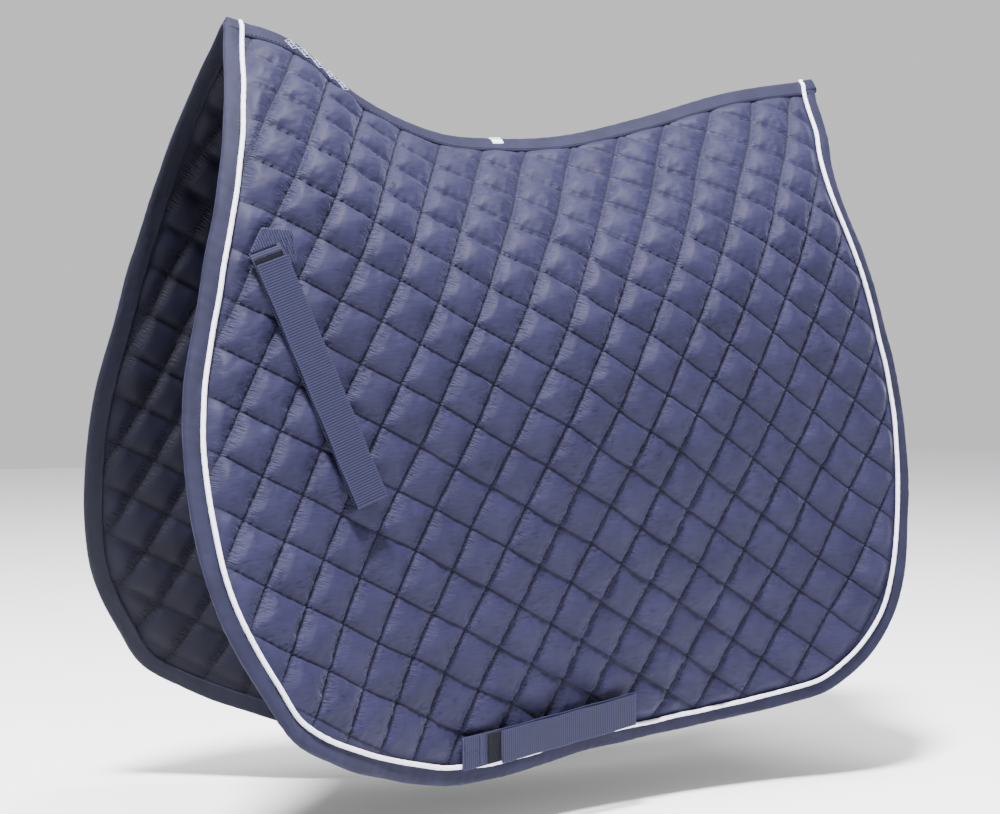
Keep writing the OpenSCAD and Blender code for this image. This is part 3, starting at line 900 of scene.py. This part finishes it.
def edge_stitching(side):
    """The row of stitches that holds the binding, just outside the piping."""
    line, inward, along, s = edge_stations(STITCH_MM / 2)
    d = np.full(len(along), EDGE_STITCH_AT)
    at = mirrored(edge_point(line, inward, s, d, np.full(len(along), 2.75)), side)
    out = mirrored(normal_at(*line.T), side)
    segments = [(at[k], at[k] + 0.62 * (at[k + 2] - at[k]), out[k]) for k in range(2, len(at) - 4, 2)]
    obj = thread_mesh(f"{side}_edge_stitching", segments, M_THREAD, 0.34)
    return bend(obj)


# ---------------------------------------------------------------- straps
BILLET = dict(start=(-270, -130), end=(-191, -335), off=(4.5, 11), w=29.0, front_from=8.0)
GIRTH = dict(start=(-73, -553), end=(95, -534), off=(5.5, 8), w=30.0, front_from=16.0)
STRAPS = {"billet": BILLET, "girth": GIRTH}
WEB_T, GRIP_T, GRIP_GAP = 1.5, 1.4, 0.3
TAIL_Z = WEB_T + 2 * GRIP_T + GRIP_GAP
FOLD_R = (TAIL_Z + WEB_T) / 2
TAB_L, RIB_DEPTH = 23, 0.2
SEWN_OUTLINE = [(13, -4), (-5, -20), (-29, -9.5), (-22, 18), (-4.5, 10), (13, 4)]
FOLD_OUTLINE = [(14, -3), (-5, -20), (-12, -3)]


def strap_frame(strap):
    """Origin, and the directions across, down and out of a strap on the left side."""
    (x0, z0), (x1, z1) = strap["start"], strap["end"]
    z0, z1 = z0 + SEAM_RISE, z1 + SEAM_RISE
    p = on_flap(x0, z0, strap["off"][0])
    e = on_flap(x1, z1, strap["off"][1])
    t = unit(e - p)
    n0 = normal_at(np.array((x0 + x1) / 2), np.array((z0 + z1) / 2))
    n = unit(n0 - (n0 @ t) * t)
    return p, np.cross(t, n), t, n, float(np.linalg.norm(e - p))


def in_strap(frame_of, x, y, z):
    """Points at x across, y down and z out from the pad in a strap's frame."""
    p, w, t, n, _ = frame_of
    x, y, z = (np.asarray(v)[..., None] for v in (x, y, z))
    return p + x * w + y * t + z * n


def ribbon(name, frame_of, side, path, width, thick, material, rib=0.2):
    """Webbing along a path of (y, z) points in a strap's frame, with ribs across it."""
    path = np.asarray(path, float)
    along = np.r_[0, np.cumsum(np.linalg.norm(np.diff(path, axis=0), axis=1))]
    steps = np.arange(0, along[-1], RIB_MM / 6)
    y, z = (np.interp(steps, along, path[:, k]) for k in (0, 1))
    d = unit(np.gradient(np.column_stack([y, z]), axis=0))
    nn = np.column_stack([-d[:, 1], d[:, 0]])
    across = np.array([-1, -0.985, -0.93, -0.8, -0.4, 0, 0.4, 0.8, 0.93, 0.985, 1]) * width / 2
    edge = np.abs(across) / (width / 2)
    half = thick / 2 * np.where(edge > 0.99, 0.35, np.where(edge > 0.98, 0.75, 1.0))
    ripple = rib * np.cos(2 * math.pi * steps / RIB_MM)[:, None] * np.where(edge < 0.9, 1.0, 0.35)[None, :]
    skew = 0.25 * noise(steps[:, None], 60, 4)
    rows = []
    for sign, xs in ((1, across), (-1, across[::-1])):
        h = half if sign == 1 else half[::-1]
        rp = ripple if sign == 1 else ripple[:, ::-1]
        off = sign * (h[None, :] + rp)
        down, out = y[:, None] + off * nn[:, 0:1], z[:, None] + off * nn[:, 1:2]
        rows.append(in_strap(frame_of, xs[None, :] + skew[:, None], down, out))
    ring = np.concatenate(rows, 1)
    uv = np.stack(np.broadcast_arrays(steps[:, None], np.r_[across, across[::-1]][None, :]), -1) * MM
    return loft(name, ring[:, ::-1], side, [material], uv={"cloth": uv[:, ::-1].reshape(-1, 2)})


def slab(name, frame_of, side, y0, y1, z0, z1, width, material, rough=0.25, seed=1):
    """A pad of hook or loop pile."""
    ny, nx = int((y1 - y0) / 0.8), int(width / 0.8)
    y, x = np.meshgrid(np.linspace(y0, y1, ny), np.linspace(-width / 2, width / 2, nx), indexing="ij")
    pts, rng = [], np.random.default_rng(seed)
    for z, sign in ((z1, 1), (z0, -1)):
        pts.append(in_strap(frame_of, x, y, z + sign * rough * (rng.random(x.shape) - 0.6)).reshape(-1, 3))
    index = np.arange(nx * ny).reshape(ny, nx)
    quads = np.stack([index[:-1, :-1], index[:-1, 1:], index[1:, 1:], index[1:, :-1]], -1).reshape(-1, 4)
    rim = np.r_[index[0, :], index[1:, -1], index[-1, -2::-1], index[-2:0:-1, 0]]
    under = nx * ny
    faces = quads[:, ::-1].tolist() + (quads + under).tolist()
    for a, b in zip(rim, np.roll(rim, -1)):
        faces.append([a, b, b + under, a + under])
    if side == "right":
        faces = [f[::-1] for f in faces]
    return new_mesh(name, mirrored(np.vstack(pts), side), [f[::-1] for f in faces], [material])


def arc_path(y, z, r, a0, a1, n=24):
    """Points (y, z) on an arc from a0 to a1 degrees."""
    a = np.radians(np.linspace(a0, a1, n))
    return [(y + r * math.cos(t), z + r * math.sin(t)) for t in a]


def patch(name, frame_of, side, outline, top, thick):
    """Flat piece of webbing with this outline, its corners rounded and its edge rolled."""
    line = rounded(outline, 1.6)
    centre = line.mean(axis=0)
    rings, uv = [], []
    low = top - thick
    upper = [(0.02, top), (0.5, top), (0.9, top), (0.975, top - 0.1), (1.0, top - 0.45)]
    for share, z in upper + [(1.0, low + 0.3), (0.9, low), (0.02, low)]:
        at = centre + (line - centre) * share
        rib = RIB_DEPTH * np.cos(2 * math.pi * at[:, 0] / RIB_MM) if top - z < 0.3 else 0 * at[:, 0]
        rings.append(in_strap(frame_of, at[:, 0], at[:, 1], z + rib))
        uv.append(at * MM)
    uv = {"cloth": np.array(uv)[:, ::-1].reshape(-1, 2)}
    return loft(name, np.array(rings)[:, ::-1], side, [M_WEB], uv=uv)


def rounded(outline, radius, n=60):
    """Evenly spaced points on a closed polygon with its corners cut round."""
    corners = np.array(outline, float)
    before, after = np.roll(corners, 1, axis=0), np.roll(corners, -1, axis=0)
    points = []
    for c, a, b in zip(corners, before, after):
        p, q = c + unit(a - c) * radius, c + unit(b - c) * radius
        for t in np.linspace(0, 1, 7):
            points.append((1 - t) ** 2 * p + 2 * t * (1 - t) * c + t * t * q)
    points = np.array(points + points[:1])
    along = np.r_[0, np.cumsum(np.linalg.norm(np.diff(points, axis=0), axis=1))]
    even = np.linspace(0, along[-1], n, endpoint=False)
    return np.column_stack([np.interp(even, along, points[:, k]) for k in (0, 1)])


def thread_mesh(name, segments, material, radius=0.42):
    """Short stitches as rounded beads. segments is a list of (from, to, out) in millimetres."""
    points, faces = [], []
    for a, b, out in segments:
        a, b, out = (np.asarray(v, float) for v in (a, b, out))
        d = unit(b - a)
        across = unit(np.cross(d, out))
        base = len(points)
        for t, r in ((0.0, 0.3), (0.12, 0.85), (0.5, 1.0), (0.88, 0.85), (1.0, 0.3)):
            centre = a + (b - a) * t + out * 0.25 * math.sin(math.pi * t)
            for k in range(6):
                turn = k * math.pi / 3
                points.append(centre + radius * r * (math.cos(turn) * across + math.sin(turn) * out))
        faces += [tuple(base + v for v in f) for f in tube_faces(5, 6)]
    uv = np.zeros((len(points), 2))
    uv[:, 0] = np.repeat(np.arange(len(points) // 6), 6) * 0.001
    return new_mesh(name, np.array(points), faces, [material], uv={"cloth": uv})


def stitches(name, frame_of, side, rows, z):
    """Rows of stitches along lines of (x, y) points in a strap's frame."""
    segments = []
    out = frame_of[3] * ([1, -1, 1] if side == "right" else [1, 1, 1])
    for row in rows:
        line = np.array(row, float)
        along = np.r_[0, np.cumsum(np.linalg.norm(np.diff(line, axis=0), axis=1))]
        for s0 in np.arange(0, along[-1] - 1.5, STITCH_MM * 0.72):
            ends = np.minimum((s0, s0 + STITCH_MM * 0.55), along[-1])
            x, y = (np.interp(ends, along, line[:, k]) for k in (0, 1))
            a, b = mirrored(in_strap(frame_of, x, y, z + 0.1), side)
            segments.append((a, b, out))
    return thread_mesh(name, segments, M_THREAD)


def across_joint(point, frame_of, side):
    p = mirrored(in_strap(frame_of, 0.0, point[0], point[1]), side) * MM
    return tuple(float(v) for v in p)


BACK_TOP = {
    "billet": [(-3, -0.6), (1, 0.3), (4, WEB_T / 2)],
    "girth": [(-9, -0.2), (-3, 0.55), (2, WEB_T / 2)],
}
ZIGZAG_AT = (-26.5, -21.5, -17.0)


def strap_pieces(side, kind):
    """One strap: its two layers of webbing, the grip between them and its sewn end."""
    strap = STRAPS[kind]
    f = strap_frame(strap)
    length, w = f[4], strap["w"]
    pre = f"{side}_{kind}"
    mid = FOLD_R - WEB_T / 2  # radius of the middle of the webbing in the fold
    back = list(BACK_TOP[kind])
    back += [(y, WEB_T / 2 + 0.5 * math.sin(math.pi * y / length)) for y in np.linspace(8, length - 10, 30)]
    back += [(length - FOLD_R, WEB_T / 2)]
    obj = ribbon(f"{pre}_back_webbing", f, side, back, w, WEB_T, M_WEB)
    near, far = across_joint((-3, 0), f, side), across_joint((5, 0), f, side)
    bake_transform(obj)
    front = [(length - FOLD_R - 0.5, WEB_T / 2)] + arc_path(length - FOLD_R, FOLD_R, mid, -90, 90)
    top = TAIL_Z + WEB_T / 2
    start = strap["front_from"]
    steps = np.linspace(length - FOLD_R - 2, start, 30)
    lift = [math.sin(math.pi * (length - y) / (length - start)) for y in steps]
    front += [(y, top + 0.6 * rise) for y, rise in zip(steps, lift)]
    tail = ribbon(f"{pre}_front_webbing", f, side, front, w, WEB_T, M_WEB)
    across_joint((length - FOLD_R, WEB_T), f, side)
    across_joint((length - FOLD_R, TAIL_Z), f, side)
    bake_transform(tail)
    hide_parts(f"{pre}_strap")
    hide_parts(f"{pre}_tail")
    loop = slab(f"{pre}_loop_pile", f, side, 3, 63, WEB_T, WEB_T + GRIP_T, w - 3, M_GRIP, 0.35, 3)
    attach(loop, f"{pre}_strap")
    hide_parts(f"{pre}_loop_tape")
    low = WEB_T + GRIP_T + GRIP_GAP
    hook = slab(f"{pre}_hook_pile", f, side, start + 1, start + 60, low, TAIL_Z, w - 3, M_GRIP, 0.3, 4)
    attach(hook, f"{pre}_tail")
    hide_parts(f"{pre}_hook_tape")
    if kind == "girth":
        tab = [(-1.6, 0.75), (-TAB_L + 2, 0.75)] + arc_path(-TAB_L + 2, 0, 0.75, 90, 270, 8)
        sewn = ribbon(f"{pre}_sewn_end", f, side, [*tab, (-TAB_L + 2, -0.75), (-1.6, -0.75)], w, 1.4, M_WEB)
        pieces = [sewn]
        rows = [[(-w / 2 + 2.5, y), (w / 2 - 2.5, y)] for y in (-TAB_L + 3, -4.5)]
        rows.append([(0, -TAB_L + 5), (0, -6)])
        stitching = stitches(f"{pre}_stitching", f, side, rows, 1.5)
    else:
        pieces = [
            patch(f"{pre}_sewn_end", f, side, SEWN_OUTLINE, -0.4, 1.5),
            patch(f"{pre}_fold", f, side, FOLD_OUTLINE, 1.1, 1.5),
        ]
        rows = []
        for x in ZIGZAG_AT:
            y = np.arange(-6, 12, 2.2)
            rows.append(list(zip(x + 0.3 * (y + 6) + 1.1 * (-1.0) ** np.arange(len(y)), y)))
        stitching = stitches(f"{pre}_stitching", f, side, rows, -0.4)
    for piece in pieces:
        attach(piece, f"{side}_flap")
    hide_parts(f"{pre}_tab")
    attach(stitching, f"{side}_flap")
    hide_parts(f"{pre}_tacks")


# ---------------------------------------------------------------- stage
CAMERA_AT = (-0.7446, -1.4110, -0.2292)
CAMERA_TO = (0.4735, 0.8807, -0.0101)
LENS_MM = 60.1
ROOM_LIGHT = 0.75
FLOOR_Z, FLOOR_SIZE = -0.62, 14.0
LIGHTS = [
    # name, place, what it points at, size, power
    ("key", (-0.95, -1.15, 2.9), (0, -0.1, -0.25), 0.6, 600),
    ("top", (0.2, -0.3, 2.4), (0, 0, -0.2), 1.0, 90),
    ("fill", (0.6, -2.6, 0.5), (0, 0, -0.25), 1.6, 8),
]


def aimed(name, data, at, direction):
    """A camera or light at a place, looking in a direction."""
    obj = bpy.data.objects.new(name, data)
    bpy.context.scene.collection.objects.link(obj)
    obj.location = at
    obj.rotation_mode = "QUATERNION"
    obj.rotation_quaternion = direction.to_track_quat("-Z", "Y")
    return obj


def stage():
    """Camera, pale floor, soft room light and three round lamps."""
    cam = bpy.data.cameras.new("camera")
    cam.lens, cam.sensor_width = LENS_MM, 36
    cam.clip_start, cam.clip_end = 0.01, 50
    bpy.context.scene.camera = aimed("camera", cam, CAMERA_AT, Vector(CAMERA_TO))

    world = bpy.data.worlds.new("soft_room")
    world.use_nodes = True
    room = world.node_tree.nodes["Background"].inputs
    room["Color"].default_value = (1, 1, 1, 1)
    room["Strength"].default_value = ROOM_LIGHT
    bpy.context.scene.world = world

    c = FLOOR_SIZE / 2
    mesh = bpy.data.meshes.new("floor")
    corners = [(x, y, FLOOR_Z) for x, y in ((-c, -c), (c, -c), (c, c), (-c, c))]
    mesh.from_pydata(corners, [], [(0, 1, 2, 3)])
    mesh.materials.append(floor_paint())
    floor = bpy.data.objects.new("floor", mesh)
    bpy.context.scene.collection.objects.link(floor)
    for name, at, target, size, power in LIGHTS:
        data = bpy.data.lights.new(name, "AREA")
        data.shape, data.size, data.energy = "DISK", size, power
        aimed(name, data, at, Vector(target) - Vector(at))


stage()
FIELD = simulated_cells()
for SIDE in SIDES:
    quilted_flap(SIDE, FIELD)
    edge_binding(SIDE)
    piping(SIDE)
    edge_stitching(SIDE)
    for KIND in STRAPS:
        strap_pieces(SIDE, KIND)
seam_band("spine_band", TAPE_REACH, 2.9, 1.0, M_BINDING, True, ["spine_tape", "seam_cord"], -252, 383)
# The under tape takes the binding's colour painted darker as shade
seam_band("under_band", CROSSING_REACH, -2.9, -1.0, M_BINDING_SHADED, False, ["under_tape"], -252, 383)

ridge_details()
